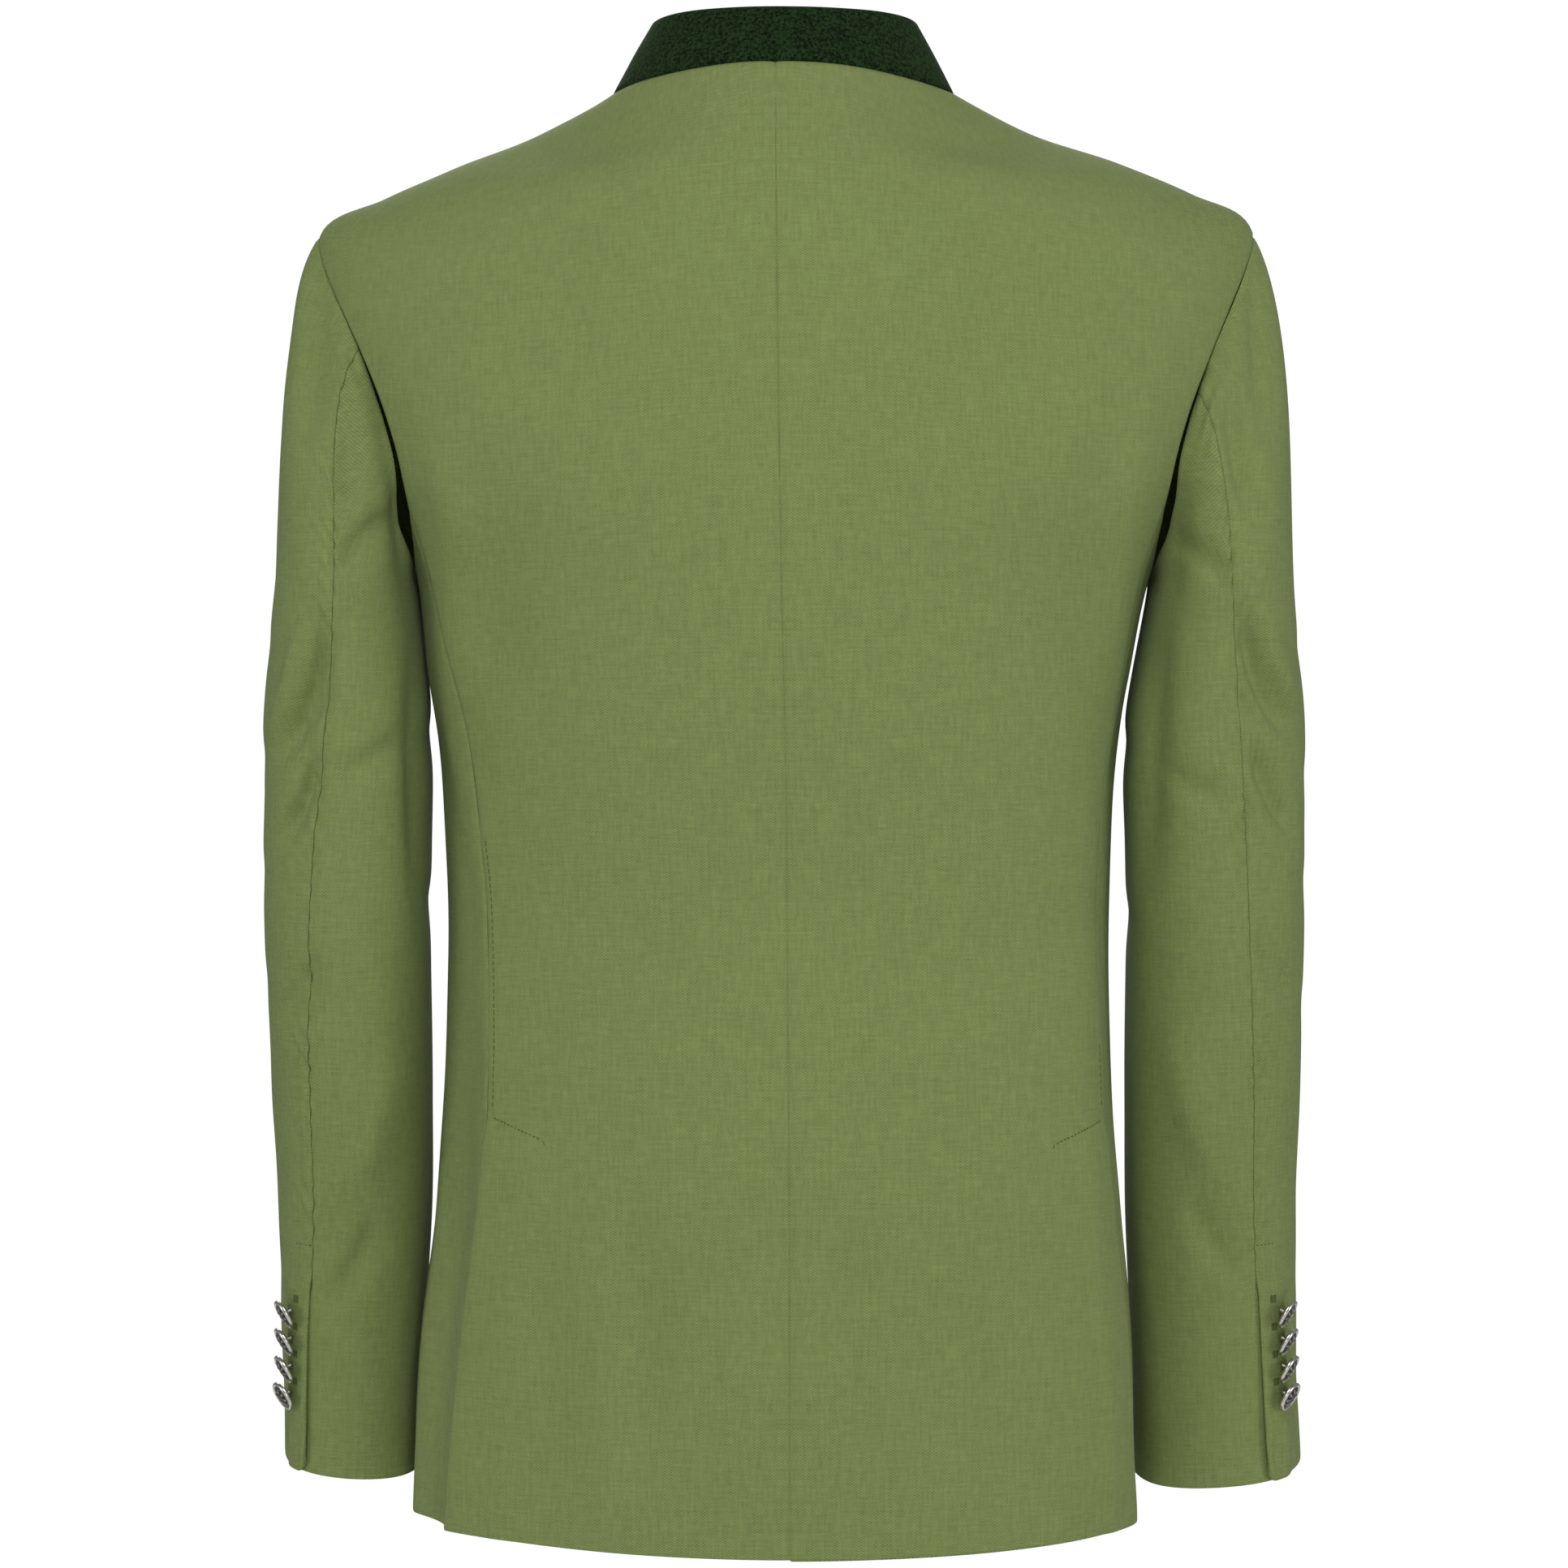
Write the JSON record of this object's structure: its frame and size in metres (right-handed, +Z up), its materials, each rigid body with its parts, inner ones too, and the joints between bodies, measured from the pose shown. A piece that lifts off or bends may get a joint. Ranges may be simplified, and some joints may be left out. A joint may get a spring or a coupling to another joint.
{
  "type": "stand-collar trachten jacket",
  "caption": "Tailored linen folk-dress jacket with a felt stand collar, side vents at the back, two-piece sleeves and domed metal buttons, in its worn shape",
  "frame": {"origin": "the middle of the neck opening, level with the points where the shoulder seams meet the collar", "axes": "+Z up along the wearer's height, +X to the wearer's left, -Y forwards, so the back faces +Y"},
  "size_m": [0.5283, 0.2623, 0.764],
  "materials": {
    "linen": "light olive green linen in plain weave, slubbed and slightly mottled",
    "felt": "very dark green wool felt, matt with a fine nap",
    "silver": "antique silver, bright on the rims and dark in the hollows"
  },
  "bodies": {
    "root": {"back_left": "linen", "back_right": "linen", "side_left": "linen", "side_right": "linen", "front_left": "linen", "front_right": "linen", "sleeve_top_left": "linen", "sleeve_top_right": "linen", "sleeve_under_left": "linen", "sleeve_under_right": "linen", "collar": "felt", "cuff_button_left_1": "silver", "cuff_button_left_2": "silver", "cuff_button_left_3": "silver", "cuff_button_left_4": "silver", "cuff_button_right_1": "silver", "cuff_button_right_2": "silver", "cuff_button_right_3": "silver", "cuff_button_right_4": "silver", "front_button_1": "silver", "front_button_2": "silver", "front_button_3": "silver", "front_button_4": "silver", "front_button_5": "silver"}
  },
  "joints": []
}
